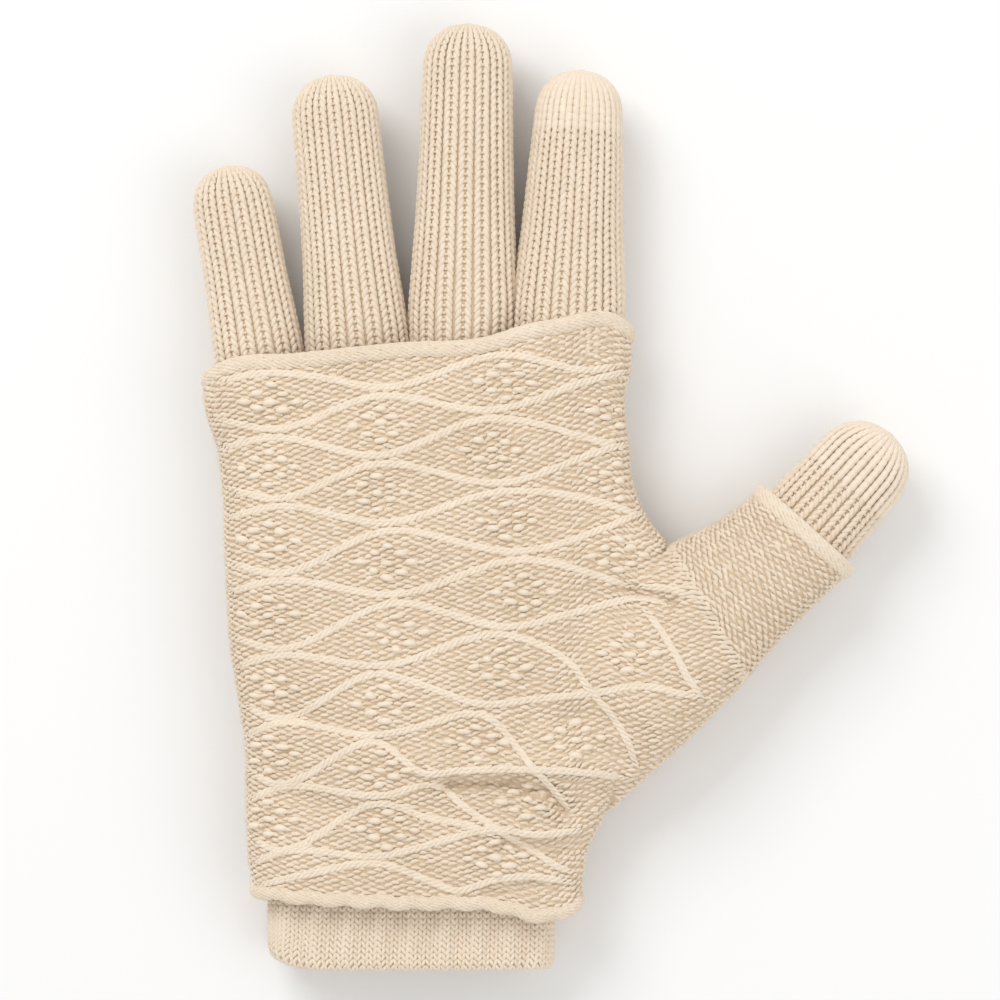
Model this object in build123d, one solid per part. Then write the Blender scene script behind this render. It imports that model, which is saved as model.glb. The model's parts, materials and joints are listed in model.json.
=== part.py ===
from build123d import *
import os
from math import cos, radians, sin, tan

# One knitted glove lying on its back, filled as by a hand: a full-finger liner in thick rib knit
# inside a fingerless mitt with a knitted thumb sleeve. Millimetres.
# +Y runs to the fingertips, +X to the thumb side, +Z up. The origin is on the surface the glove
# lies on, under the middle of its box. Fingers curl up, towards +Z.

# Driving dimensions
WALL = 1.6               # knitted wall of either layer
LAYER_GAP = 0.3          # liner to mitt
PROUD = 0.8              # welts and hem beyond the mitt's wall
HINGE_GAP = 0.2          # half of the slot at a knuckle
SPARE_ANGLE = 1.0        # degrees of room left in a knuckle's notch

HEM_LOW, HEM_HIGH = -88.0, -83.0            # y of the mitt's lower hem
CUFF_END = -101.4                           # y of the ribbed cuff's open end
CUFF_TOP = -80.0                            # y where the rib meets the palm tube
CUFF_LEFT, CUFF_RIGHT, CUFF_DEPTH = -60.4, 0.6, 16.6
CUFF_INNER_WIDTH = 61.6                     # width where the rib meets the palm tube
WELT_LEFT_Y, WELT_RIGHT_Y = 30.2, 36.6      # top edge of the mitt at its two sides
WELT_HEIGHT = 4.0
LINER_TOP = 27.0                            # y of the liner's web between the fingers

# The mitt's body: y, left edge, right edge, thickness
BODY = [
    (-92.0, -63.0, 6.5, 20.5),
    (-75.0, -64.8, 8.5, 22.5),
    (-55.0, -65.5, 16.0, 25.0),
    (-30.0, -68.7, 24.0, 26.0),
    (-10.0, -70.2, 21.5, 25.5),
    (8.0, -72.5, 17.0, 24.0),
    (22.0, -74.8, 16.2, 22.5),
    (42.0, -74.6, 17.4, 21.6),
]

# Fingers: knuckle point x and y, lean from +Y in degrees, lengths of the base, middle and tip
# stretches, half widths at the knuckle and near the tip
FINGERS = {
    "little": (-63.6, 35.5, -10.0, (13.0, 10.5, 12.1), (8.6, 8.2)),
    "ring": (-42.1, 39.0, -5.7, (18.5, 16.0, 17.0), (10.0, 8.9)),
    "middle": (-18.7, 44.0, 1.0, (21.0, 17.5, 18.9), (10.6, 9.3)),
    "index": (4.1, 47.0, 3.2, (16.0, 13.5, 14.9), (10.8, 9.0)),
}
FINGER_Z = 11.0
FINGER_DEPTH = 0.74                         # depth over width of a finger tube
STUB = 26.0                                 # liner finger below its knuckle, inside the palm
KNUCKLE_BEND, MIDDLE_BEND, TIP_BEND = 65.0, 75.0, 37.5

# Thumb: knuckle point, direction of its axis above +X, and its tubes as rows of
# distance along the axis, sideways offset, half width, half depth
THUMB_X, THUMB_Y, THUMB_Z = 44.8, -18.4, 12.0
THUMB_RISE = 48.0
SLEEVE_END = 13.0
THUMB_OUTER = [
    (-65.0, -6.0, 8.0, 8.5),
    (-51.0, -4.5, 13.0, 10.5),
    (-29.0, -5.0, 16.7, 11.6),
    (-7.0, -3.3, 15.0, 11.2),
    (19.0, -0.2, 13.0, 10.2),
]
THUMB_LINER = [
    (-65.0, -6.0, 6.1, 6.6),
    (-51.0, -4.5, 11.1, 8.6),
    (-29.0, -5.0, 14.8, 9.7),
    (-7.0, -3.3, 13.1, 9.3),
    (13.0, -0.8, 10.9, 8.1),
    (23.0, 0.0, 10.5, 7.9),
    (33.0, 0.0, 10.2, 7.7),
]
THUMB_TIP_HINGE = 22.0
THUMB_END = 42.5
THUMB_BEND, THUMB_TIP_BEND = 40.0, 60.0
GUSSET_LEFT, GUSSET_TOP = 14.6, 0.0         # where the liner's thumb gusset meets its palm tube

DOME_STEPS = (0, 25, 45, 62, 75, 84)        # degrees round a closed fingertip


# Points and planes along a finger or the thumb

def finger_frame(x, y, z, lean, along, side=0.0):
    """Plane across an axis that leans `lean` degrees from +Y, `along` mm from its start."""
    ahead = Vector(sin(radians(lean)), cos(radians(lean)), 0)
    across = Vector(cos(radians(lean)), -sin(radians(lean)), 0)
    origin = Vector(x, y, z) + ahead * along + across * side
    return Plane(origin=origin, x_dir=across, z_dir=ahead)


def oval(plane, half_width, half_depth):
    return plane * Ellipse(half_width, half_depth)


def dome_rows(start, end, half_width, depth_ratio):
    """Rows along, half width, half depth that close a tube with a round end."""
    rows = []
    for step in DOME_STEPS:
        rows.append((
            start + (end - start) * sin(radians(step)),
            half_width * cos(radians(step)),
            half_width * depth_ratio * cos(radians(step)),
        ))
    return rows


def knuckle_gap(x, y, z, lean, along, half_width, bend):
    """A slot under a hinge axis that opens above it into a notch for `bend` degrees."""
    reach = 24.0
    open_by = HINGE_GAP + reach * tan(radians(bend / 2 + SPARE_ANGLE))
    middle = finger_frame(x, y, z, lean, along)
    profile = Polyline(
        (-HINGE_GAP, -reach),
        (HINGE_GAP, -reach),
        (HINGE_GAP, 0),
        (open_by, reach),
        (-open_by, reach),
        (-HINGE_GAP, 0),
        close=True,
    )
    side_view = Plane(origin=middle.origin, x_dir=middle.z_dir, z_dir=middle.x_dir)
    if side_view.y_dir.Z < 0:
        side_view = Plane(origin=middle.origin, x_dir=middle.z_dir, z_dir=-middle.x_dir)
    face = side_view * make_face(profile)
    return extrude(face, amount=half_width, both=True)


# The palm

def body_loft(inset, low=None, high=None):
    """The mitt's body moved inwards by `inset`, with rounded edges and a flat underside."""
    rows = []
    for y, left, right, thickness in BODY:
        plane = Plane(origin=((left + right) / 2, y, thickness / 2), x_dir=(1, 0, 0), z_dir=(0, 1, 0))
        rows.append(plane * SlotOverall(right - left - 2 * inset, thickness - 2 * inset))
    solid = loft(rows, ruled=True)
    if low is not None:
        solid = split(solid, Plane(origin=(0, low, 0), z_dir=(0, 1, 0)), Keep.TOP)
    if high is not None:
        solid = split(solid, Plane(origin=(0, high, 0), z_dir=(0, 1, 0)), Keep.BOTTOM)
    return solid


def welt_plane(drop):
    """Plane along the mitt's slanted top edge, `drop` below it."""
    left_x, right_x = BODY[-1][1], BODY[-1][2]
    slope = Vector(right_x - left_x, WELT_RIGHT_Y - WELT_LEFT_Y, 0).normalized()
    up = Vector(-slope.Y, slope.X, 0)
    return Plane(origin=Vector(left_x, WELT_LEFT_Y, 0) - up * drop, x_dir=slope, z_dir=up)


def above_floor(solid):
    return split(solid, Plane.XY, Keep.TOP)


# The thumb

THUMB_LEAN = 90.0 - THUMB_RISE


def thumb_frame(along, side=0.0):
    return finger_frame(THUMB_X, THUMB_Y, THUMB_Z, THUMB_LEAN, along, side)


def thumb_loft(rows, inset=0.0):
    return loft([oval(thumb_frame(u, v), a - inset, b - inset) for u, v, a, b in rows], ruled=True)


def thumb_liner_solid(inset):
    """The liner's thumb from inside the palm to its closed tip."""
    rows = [oval(thumb_frame(u, v), a - inset, b - inset) for u, v, a, b in THUMB_LINER]
    half_width, half_depth = THUMB_LINER[-1][2] - inset, THUMB_LINER[-1][3] - inset
    dome = dome_rows(THUMB_LINER[-1][0], THUMB_END - inset, half_width, half_depth / half_width)
    rows += [oval(thumb_frame(u), a, b) for u, a, b in dome[1:]]
    return loft(rows, ruled=True)


def thumb_gap(along, half_width, bend):
    return knuckle_gap(THUMB_X, THUMB_Y, THUMB_Z, THUMB_LEAN, along, half_width, bend)


def beyond(solid, plane):
    return split(solid, plane, Keep.TOP)


def before(solid, plane):
    return split(solid, plane, Keep.BOTTOM)


# The fingers

def finger_solid(name, inset):
    """A finger from inside the palm to its closed tip, moved inwards by `inset`."""
    x, y, lean, lengths, widths = FINGERS[name]
    root, near_tip = widths
    end = sum(lengths) - inset
    dome_start = sum(lengths) - near_tip
    sections = []
    for along, half_width in ((-STUB, root), (0, root), (dome_start * 0.5, (root + near_tip) / 2)):
        plane = finger_frame(x, y, FINGER_Z, lean, along)
        sections.append(oval(plane, half_width - inset, half_width * FINGER_DEPTH - inset))
    inner_width = near_tip - inset
    ratio = (near_tip * FINGER_DEPTH - inset) / inner_width
    for along, half_width, half_depth in dome_rows(dome_start, end, inner_width, ratio):
        sections.append(oval(finger_frame(x, y, FINGER_Z, lean, along), half_width, half_depth))
    return loft(sections, ruled=True)


def finger_stub(name, inset):
    x, y, lean, _, _ = FINGERS[name]
    return before(finger_solid(name, inset), finger_frame(x, y, FINGER_Z, lean, 0))


def finger_gap(name, along, bend):
    x, y, lean, _, widths = FINGERS[name]
    return knuckle_gap(x, y, FINGER_Z, lean, along, widths[0] + 0.3, bend)


def finger_pieces(name):
    """Base, middle and tip stretches of one liner finger."""
    x, y, lean, lengths, _ = FINGERS[name]
    wall = finger_solid(name, 0) - finger_solid(name, WALL)
    cuts = [0, lengths[0], lengths[0] + lengths[1]]
    bends = [KNUCKLE_BEND, MIDDLE_BEND, TIP_BEND]
    planes = [finger_frame(x, y, FINGER_Z, lean, cut) for cut in cuts]
    base = before(beyond(wall, planes[0]), planes[1])
    middle = before(beyond(wall, planes[1]), planes[2])
    tip = beyond(wall, planes[2])
    gaps = [finger_gap(name, cut, bend) for cut, bend in zip(cuts, bends)]
    return {
        "base": base - gaps[0] - gaps[1],
        "middle": middle - gaps[1] - gaps[2],
        "tip": tip - gaps[2],
    }


# Whole pieces

def liner_palm_pieces():
    """Palm tube of the liner with its finger stubs, closed by a web at the top, and its thumb gusset."""
    skin = WALL + LAYER_GAP
    solid = body_loft(skin, CUFF_TOP, LINER_TOP)
    hollow = body_loft(skin + WALL, CUFF_TOP, LINER_TOP - WALL)
    thumb_plane = thumb_frame(0)
    solid += before(thumb_liner_solid(0), thumb_plane)
    hollow += before(thumb_liner_solid(WALL), thumb_plane)
    for name in FINGERS:
        solid += finger_stub(name, 0)
        hollow += finger_stub(name, WALL)
    wall = solid - hollow
    for name in FINGERS:
        wall -= finger_gap(name, 0, KNUCKLE_BEND)
    wall -= thumb_gap(0, 20, THUMB_BEND)
    corner = Pos(GUSSET_LEFT, GUSSET_TOP, 0)
    gusset_block = corner * Box(100, 100, 100, align=(Align.MIN, Align.MAX, Align.CENTER))
    return wall - gusset_block, wall & gusset_block


def cuff():
    """Ribbed cuff that shows below the hem and meets the palm tube inside the mitt."""
    middle_x = (CUFF_LEFT + CUFF_RIGHT) / 2
    rows = []
    hollow_rows = []
    for y, width in ((CUFF_END, CUFF_RIGHT - CUFF_LEFT), (CUFF_TOP, CUFF_INNER_WIDTH)):
        plane = Plane(origin=(middle_x, y, 11.0), x_dir=(1, 0, 0), z_dir=(0, 1, 0))
        rows.append(plane * SlotOverall(width, CUFF_DEPTH))
        hollow_rows.append(plane * SlotOverall(width - 2 * WALL, CUFF_DEPTH - 2 * WALL))
    return loft(rows, ruled=True) - loft(hollow_rows, ruled=True)


def mitt_shell():
    """Fingerless shell with its thumb gusset, open at the knuckles, thumb and wrist."""
    thumb_plane = thumb_frame(0)
    outer = body_loft(0, HEM_HIGH) + before(thumb_loft(THUMB_OUTER), thumb_plane)
    inner = body_loft(WALL) + before(thumb_loft(THUMB_OUTER, WALL), thumb_plane)
    shell = before(outer - inner, welt_plane(WELT_HEIGHT))
    return above_floor(shell - thumb_gap(0, 20, THUMB_BEND))


def wrist_hem():
    ring = body_loft(-PROUD, HEM_LOW, HEM_HIGH) - body_loft(WALL)
    return above_floor(ring)


def knuckle_welt():
    ring = body_loft(-PROUD) - body_loft(WALL)
    return above_floor(before(beyond(ring, welt_plane(WELT_HEIGHT)), welt_plane(0)))


def thumb_sleeve():
    tube = thumb_loft(THUMB_OUTER) - thumb_loft(THUMB_OUTER, WALL)
    tube = before(beyond(tube, thumb_frame(0)), thumb_frame(SLEEVE_END))
    return tube - thumb_gap(0, 20, THUMB_BEND)


def thumb_welt():
    ring = thumb_loft(THUMB_OUTER, -PROUD) - thumb_loft(THUMB_OUTER, WALL)
    return before(beyond(ring, thumb_frame(SLEEVE_END)), thumb_frame(SLEEVE_END + WELT_HEIGHT))


def thumb_liner_pieces():
    wall = thumb_liner_solid(0) - thumb_liner_solid(WALL)
    tip_plane = thumb_frame(THUMB_TIP_HINGE)
    tip_gap = thumb_gap(THUMB_TIP_HINGE, 12, THUMB_TIP_BEND)
    tube = before(beyond(wall, thumb_frame(0)), tip_plane)
    return tube - thumb_gap(0, 20, THUMB_BEND) - tip_gap, beyond(wall, tip_plane) - tip_gap


def all_pieces():
    pieces = {
        "liner_wrist_cuff": cuff(),
        "mitt_shell": mitt_shell(),
        "mitt_wrist_hem": wrist_hem(),
        "mitt_knuckle_welt": knuckle_welt(),
        "mitt_thumb_sleeve": thumb_sleeve(),
        "mitt_thumb_welt": thumb_welt(),
    }
    pieces["liner_palm_tube"], pieces["liner_thumb_gusset"] = liner_palm_pieces()
    pieces["liner_thumb_tube"], pieces["liner_thumb_touch_tip"] = thumb_liner_pieces()
    for name in FINGERS:
        for stretch, solid in finger_pieces(name).items():
            node = f"liner_{name}_finger_{stretch}"
            if name == "index" and stretch == "tip":
                node = "liner_index_touch_tip"
            pieces[node] = solid
    return pieces


def write_parts():
    os.makedirs("parts", exist_ok=True)
    for node, solid in all_pieces().items():
        solid.label = node
        export_step(solid, f"parts/{node}.step")


write_parts()
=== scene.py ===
import json
import math

import bmesh
import bpy
import numpy as np
from mathutils import Matrix, Vector


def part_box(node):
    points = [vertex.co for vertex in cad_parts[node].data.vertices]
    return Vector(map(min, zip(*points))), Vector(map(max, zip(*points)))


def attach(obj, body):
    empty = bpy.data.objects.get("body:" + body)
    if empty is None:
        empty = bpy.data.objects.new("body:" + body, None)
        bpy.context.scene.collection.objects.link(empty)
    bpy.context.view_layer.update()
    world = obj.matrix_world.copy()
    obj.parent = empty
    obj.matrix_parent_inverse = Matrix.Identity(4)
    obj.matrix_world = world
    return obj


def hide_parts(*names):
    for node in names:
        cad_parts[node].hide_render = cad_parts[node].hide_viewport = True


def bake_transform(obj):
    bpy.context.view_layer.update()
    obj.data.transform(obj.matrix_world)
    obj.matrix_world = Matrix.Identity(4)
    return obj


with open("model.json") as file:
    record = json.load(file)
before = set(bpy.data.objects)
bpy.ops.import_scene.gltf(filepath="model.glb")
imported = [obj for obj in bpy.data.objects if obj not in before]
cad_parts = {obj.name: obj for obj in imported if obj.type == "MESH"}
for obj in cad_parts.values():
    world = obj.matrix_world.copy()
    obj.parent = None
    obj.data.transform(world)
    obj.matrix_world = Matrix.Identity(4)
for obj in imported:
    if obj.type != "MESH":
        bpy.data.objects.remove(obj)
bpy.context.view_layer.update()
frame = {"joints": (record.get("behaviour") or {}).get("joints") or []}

# A two-layer knitted glove: a full-finger liner in thick stockinette inside a fingerless mitt in reverse
# stockinette with a raised diamond lattice. Lengths in this script are millimetres; meshes are metres.
MM = 0.001
rng = np.random.default_rng(7)

JOINTS = {joint["name"]: joint for joint in frame["joints"]}


# ---------------------------------------------------------------- camera and light

VIEW_CENTRE = Vector((-10.9, -0.8, 12.0))
VIEW_WIDTH, VIEW_HEIGHT = 215.2, 1200.0   # width that the camera takes in, and its height above the middle


def add_camera():
    data = bpy.data.cameras.new("camera")
    data.sensor_width = 36.0
    data.lens = data.sensor_width * VIEW_HEIGHT / VIEW_WIDTH
    camera = bpy.data.objects.new("camera", data)
    camera.location = (VIEW_CENTRE + Vector((0, 0, VIEW_HEIGHT))) * MM
    bpy.context.scene.collection.objects.link(camera)
    bpy.context.scene.camera = camera


def add_area_light(name, place, size, watts):
    data = bpy.data.lights.new(name, "AREA")
    data.shape = "SQUARE"
    data.size = size
    data.energy = watts
    light = bpy.data.objects.new(name, data)
    light.location = place
    light.rotation_euler = (-Vector(place)).to_track_quat("-Z", "Y").to_euler()
    bpy.context.scene.collection.objects.link(light)


def add_studio():
    world = bpy.data.worlds.new("studio")
    world.use_nodes = True
    background = world.node_tree.nodes["Background"]
    background.inputs["Color"].default_value = (1.0, 0.995, 0.985, 1)
    background.inputs["Strength"].default_value = 0.68
    bpy.context.scene.world = world
    bpy.context.scene.view_settings.view_transform = "Standard"
    add_area_light("key", (-0.55, 0.75, 0.95), 0.7, 7.0)
    add_area_light("fill", (0.7, -0.3, 0.9), 1.0, 3.0)


# ---------------------------------------------------------------- curves and skins

def hermite(t, width, low, high, low_slope, high_slope):
    """A cubic from one value to the next with given slopes, as t runs from 0 to 1 over `width`."""
    return ((2 * t**3 - 3 * t**2 + 1) * low + (t**3 - 2 * t**2 + t) * width * low_slope
            + (3 * t**2 - 2 * t**3) * high + (t**3 - t**2) * width * high_slope)


def through(points):
    """A smooth function of one value that passes through a few points."""
    xs, ys = np.array(sorted(points), float).T
    slopes = np.gradient(ys, xs)

    def value(x):
        x = np.clip(np.asarray(x, float), xs[0], xs[-1])
        i = np.clip(np.searchsorted(xs, x) - 1, 0, len(xs) - 2)
        step = xs[i + 1] - xs[i]
        return hermite((x - xs[i]) / step, step, ys[i], ys[i + 1], slopes[i], slopes[i + 1])

    return value


def arch(t, power):
    """Height of a rounded section: 1 in the middle, 0 at -1 and 1."""
    return np.clip(1 - np.abs(t) ** power, 0, 1) ** (1 / power)


def superellipse(angle, power):
    """Cosines and sines for a rounded section, squarer with a higher power."""
    return [np.sign(f) * np.abs(f) ** (2 / power) for f in (np.cos(angle), np.sin(angle))]


def smooth(value, low, high):
    """0 below `low`, 1 above `high` and a smooth step between them."""
    t = np.clip((np.asarray(value, float) - low) / (high - low), 0, 1)
    return t * t * (3 - 2 * t)


def unit(vectors):
    return vectors / np.maximum(np.linalg.norm(vectors, axis=-1, keepdims=True), 1e-9)


def across_from(vectors, outward):
    """Unit vectors nearest to `vectors` that are square to `outward`."""
    return unit(vectors - outward * np.sum(vectors * outward, axis=1, keepdims=True))


def run_along(points):
    """Distance of each point along a run of points."""
    return np.concatenate([[0], np.cumsum(np.linalg.norm(np.diff(points, axis=0), axis=1))])


def resample_rows(rows, count):
    """Each row of points as `count` points evenly spaced along it, and the rows' lengths."""
    out, spans = [], []
    for row in rows:
        run = run_along(row)
        at = np.linspace(0, run[-1], count)
        out.append(np.stack([np.interp(at, run, row[:, k]) for k in range(3)], axis=1))
        spans.append(run[-1])
    return np.array(out), np.array(spans)


class Skin:
    """A knitted wall as a grid of points: rows follow one another up the fabric, samples run across it.
    Seen from outside, samples run to the right where rows run up."""

    def __init__(self, rows, samples, closed=False):
        self.grid, self.spans = resample_rows(rows, samples)
        self.closed = closed
        self.rows, self.samples = self.grid.shape[:2]

    def point(self, row, share):
        """Points at fractional row numbers and shares 0 to 1 of the way across."""
        row = np.clip(row, 0, self.rows - 1.000001)
        share = share % 1.0 if self.closed else np.clip(share, 0, 1)
        across = np.clip(share * (self.samples - 1), 0, self.samples - 1.000001)
        r, c = row.astype(int), across.astype(int)
        fr, fc = (row - r)[:, None], (across - c)[:, None]
        g = self.grid
        low = g[r, c] * (1 - fc) + g[r, c + 1] * fc
        high = g[r + 1, c] * (1 - fc) + g[r + 1, c + 1] * fc
        return low * (1 - fr) + high * fr

    def span(self, row):
        return np.interp(row, np.arange(self.rows), self.spans)

    def at(self, row, share):
        """Points with the directions across, along and outwards."""
        row, share = np.asarray(row, float), np.asarray(share, float)
        small_row, small_share = 0.5, 0.75 / self.samples
        across = self.point(row, share + small_share) - self.point(row, share - small_share)
        along = self.point(row + small_row, share) - self.point(row - small_row, share)
        across, outward = unit(across), unit(np.cross(across, along))
        return self.point(row, share), across, np.cross(outward, across), outward

    def shifted(self, distance):
        """The grid moved outwards by `distance`, as an array rows x samples x 3."""
        row = np.repeat(np.arange(self.rows), self.samples)
        share = np.tile(np.linspace(0, 1, self.samples), self.rows)
        if self.closed:
            share = np.where(share == 1, 0, share)
        points, _, _, outward = self.at(row, share)
        return (points + outward * distance).reshape(self.rows, self.samples, 3)


def new_object(name, mesh, material=None):
    piece = bpy.data.objects.new(name, mesh)
    bpy.context.scene.collection.objects.link(piece)
    if material is not None:
        mesh.materials.clear()
        mesh.materials.append(material)
    return piece


def grid_faces(rows, samples, start=0):
    r, c = np.meshgrid(np.arange(rows - 1), np.arange(samples - 1), indexing="ij")
    first = (start + r * samples + c).ravel()
    return np.stack([first, first + 1, first + samples + 1, first + samples], axis=1)


def mesh_of(name, points, faces):
    mesh = bpy.data.meshes.new(name)
    mesh.from_pydata((np.asarray(points) * MM).tolist(), [], np.asarray(faces).tolist())
    mesh.validate()
    return mesh


WELD = 0.05 * MM                     # points of a wall nearer than this are one


def weld_and_smooth(mesh):
    work = bmesh.new()
    work.from_mesh(mesh)
    bmesh.ops.remove_doubles(work, verts=work.verts, dist=WELD)
    bmesh.ops.dissolve_degenerate(work, edges=work.edges, dist=WELD / 2)
    work.to_mesh(mesh)
    work.free()
    mesh.shade_smooth()


def wall_piece(name, grids, material, thickness=0.0):
    """A smooth fabric wall from one or more grids that meet edge to edge."""
    points, faces, start = [], [], 0
    for grid in grids:
        rows, samples = grid.shape[:2]
        points.append(grid.reshape(-1, 3))
        faces.append(grid_faces(rows, samples, start))
        start += rows * samples
    mesh = mesh_of(name, np.concatenate(points), np.concatenate(faces))
    weld_and_smooth(mesh)
    piece = new_object(name, mesh, material)
    if thickness:
        solid = piece.modifiers.new("wall", "SOLIDIFY")
        solid.thickness = thickness * MM
        solid.offset = -1
        apply_modifiers(piece)
    return piece


def apply_modifiers(piece):
    depsgraph = bpy.context.evaluated_depsgraph_get()
    depsgraph.update()
    mesh = bpy.data.meshes.new_from_object(piece.evaluated_get(depsgraph))
    piece.modifiers.clear()
    piece.data = mesh


# ---------------------------------------------------------------- stitches

class Stitches:
    """Places, directions, sizes and shades of many loops of yarn."""

    def __init__(self):
        self.places, self.turns, self.sizes, self.shades = [], [], [], []

    def add(self, places, across, along, outward, twist=0.0, size=(1, 1, 1), shade=0.0):
        """Loops lie along `across` turned by `twist` radians towards `along`."""
        count = len(places)
        twist = np.broadcast_to(np.asarray(twist, float), (count,))[:, None]
        x = across * np.cos(twist) + along * np.sin(twist)
        y = np.cross(outward, x)
        self.places.append(places)
        self.turns.append(np.stack([x, y, outward], axis=2))
        self.sizes.append(np.broadcast_to(np.asarray(size, float), (count, 3)))
        self.shades.append(np.broadcast_to(np.asarray(shade, float), (count,)))

    def arrays(self):
        return (np.concatenate(self.places), np.concatenate(self.turns),
                np.concatenate(self.sizes), np.concatenate(self.shades))


def socket(tree, name, kind, default=None, output=False):
    made = tree.interface.new_socket(name, in_out="OUTPUT" if output else "INPUT", socket_type=kind)
    if default is not None:
        made.default_value = default
    return made.identifier


def feed(tree, target, value):
    """Sets an input to a number, or links another node's output to it."""
    if isinstance(value, (int, float)):
        target.default_value = value
    else:
        tree.links.new(value, target)


def maths_in(tree):
    """A function that adds a Math node to the tree and gives its output."""
    def maths(operation, a, b):
        node = tree.nodes.new("ShaderNodeMath")
        node.operation = operation
        feed(tree, node.inputs[0], a)
        feed(tree, node.inputs[1], b)
        return node.outputs[0]

    return maths


def build_stitch_tree():
    """Geometry Nodes: one bent, tapered loop of yarn on every point, turned and sized by its attributes."""
    tree = bpy.data.node_groups.new("yarn_loops", "GeometryNodeTree")
    keys = {}
    for name, kind, default in (
        ("Points", "Geometry", None),
        ("Loop Length", "Float", 2.0 * MM),
        ("Yarn Radius", "Float", 0.5 * MM),
        ("Bow", "Float", 0.3 * MM),
        ("Sideways Bow", "Float", 0.0),
        ("Tip Share", "Float", 0.4),
        ("Size Spread", "Float", 0.06),
        ("Segments", "Int", 4),
        ("Sides", "Int", 6),
        ("Seed", "Int", 0),
        ("Yarn", "Material", None),
    ):
        keys[name] = socket(tree, name, f"NodeSocket{kind}", default)
    socket(tree, "Knitting", "NodeSocketGeometry", output=True)
    nodes, link, maths = tree.nodes, tree.links.new, maths_in(tree)
    given, result = nodes.new("NodeGroupInput").outputs, nodes.new("NodeGroupOutput").inputs

    def vector(*parts):
        node = nodes.new("ShaderNodeCombineXYZ")
        for target, value in zip(node.inputs, parts):
            feed(tree, target, value)
        return node.outputs[0]

    def attribute(name, kind):
        node = nodes.new("GeometryNodeInputNamedAttribute")
        node.data_type = kind
        node.inputs["Name"].default_value = name
        return node.outputs["Attribute"]

    # The middle line of a loop, bowed up and sideways
    half = maths("MULTIPLY", given["Loop Length"], 0.5)
    low = maths("MULTIPLY", given["Bow"], -1.0)
    bend = nodes.new("GeometryNodeCurveQuadraticBezier")
    link(given["Segments"], bend.inputs["Resolution"])
    link(vector(maths("MULTIPLY", half, -1.0), 0.0, low), bend.inputs["Start"])
    link(vector(0.0, given["Sideways Bow"], given["Bow"]), bend.inputs["Middle"])
    link(vector(half, 0.0, low), bend.inputs["End"])

    # Its thickness, full in the middle and tapered to a share of that at the tips
    factor, tip = nodes.new("GeometryNodeSplineParameter").outputs["Factor"], given["Tip Share"]
    rise = maths("MULTIPLY", factor, maths("SUBTRACT", 1.0, factor))
    swell = maths("POWER", maths("MULTIPLY", rise, 4.0), 0.5)
    share = maths("ADD", maths("MULTIPLY", swell, maths("SUBTRACT", 1.0, tip)), tip)
    ring = nodes.new("GeometryNodeCurvePrimitiveCircle")
    link(given["Sides"], ring.inputs["Resolution"])
    ring.inputs["Radius"].default_value = 1.0
    loop = nodes.new("GeometryNodeCurveToMesh")
    link(bend.outputs[0], loop.inputs["Curve"])
    link(ring.outputs[0], loop.inputs["Profile Curve"])
    link(maths("MULTIPLY", share, given["Yarn Radius"]), loop.inputs["Scale"])
    loop.inputs["Fill Caps"].default_value = True

    # One loop on every point, a little larger or smaller at random
    spread = nodes.new("FunctionNodeRandomValue")
    spread.data_type = "FLOAT"
    link(maths("SUBTRACT", 1.0, given["Size Spread"]), spread.inputs[2])
    link(maths("ADD", 1.0, given["Size Spread"]), spread.inputs[3])
    link(given["Seed"], spread.inputs["Seed"])
    scaled = nodes.new("ShaderNodeVectorMath")
    scaled.operation = "SCALE"
    link(attribute("size", "FLOAT_VECTOR"), scaled.inputs[0])
    link(spread.outputs[1], scaled.inputs["Scale"])
    place = nodes.new("GeometryNodeInstanceOnPoints")
    link(given["Points"], place.inputs["Points"])
    link(loop.outputs[0], place.inputs["Instance"])
    link(attribute("turn", "QUATERNION"), place.inputs["Rotation"])
    link(scaled.outputs[0], place.inputs["Scale"])

    real = nodes.new("GeometryNodeRealizeInstances")
    link(place.outputs[0], real.inputs[0])
    even = nodes.new("GeometryNodeSetShadeSmooth")
    link(real.outputs[0], even.inputs["Geometry"])
    paint = nodes.new("GeometryNodeSetMaterial")
    link(even.outputs[0], paint.inputs["Geometry"])
    link(given["Yarn"], paint.inputs["Material"])
    link(paint.outputs[0], result[0])
    return tree, keys


STITCH_TREE, STITCH_KEYS = build_stitch_tree()


def loops(length, radius, bow, tip, spread, segments, sides, sideways=0.0):
    """Settings of the yarn_loops tree, from millimetres, shares and counts."""
    return {"Loop Length": length * MM, "Yarn Radius": radius * MM, "Bow": bow * MM,
            "Sideways Bow": sideways * MM, "Tip Share": tip, "Size Spread": spread,
            "Segments": segments, "Sides": sides}


def knit(name, stitches, yarn, material, seed):
    """The stitches as one plain mesh of loops of `yarn`."""
    places, turns, sizes, shades = stitches.arrays()
    mesh = bpy.data.meshes.new(name)
    mesh.from_pydata((places * MM).tolist(), [], [])
    turns = np.array([Matrix(turn).to_quaternion() for turn in turns])
    for attribute, kind, field, values in (("turn", "QUATERNION", "value", turns),
                                           ("size", "FLOAT_VECTOR", "vector", sizes),
                                           ("shade", "FLOAT", "value", shades)):
        made = mesh.attributes.new(attribute, kind, "POINT")
        made.data.foreach_set(field, values.astype(np.float32).ravel())
    piece = new_object(name, mesh)
    grow = piece.modifiers.new("knit", "NODES")
    grow.node_group = STITCH_TREE
    for key, value in {**yarn, "Seed": seed, "Yarn": material}.items():
        grow[STITCH_KEYS[key]] = value
    apply_modifiers(piece)
    for spent in ("turn", "size"):
        if spent in piece.data.attributes:
            piece.data.attributes.remove(piece.data.attributes[spent])
    return piece


# ---------------------------------------------------------------- materials

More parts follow.
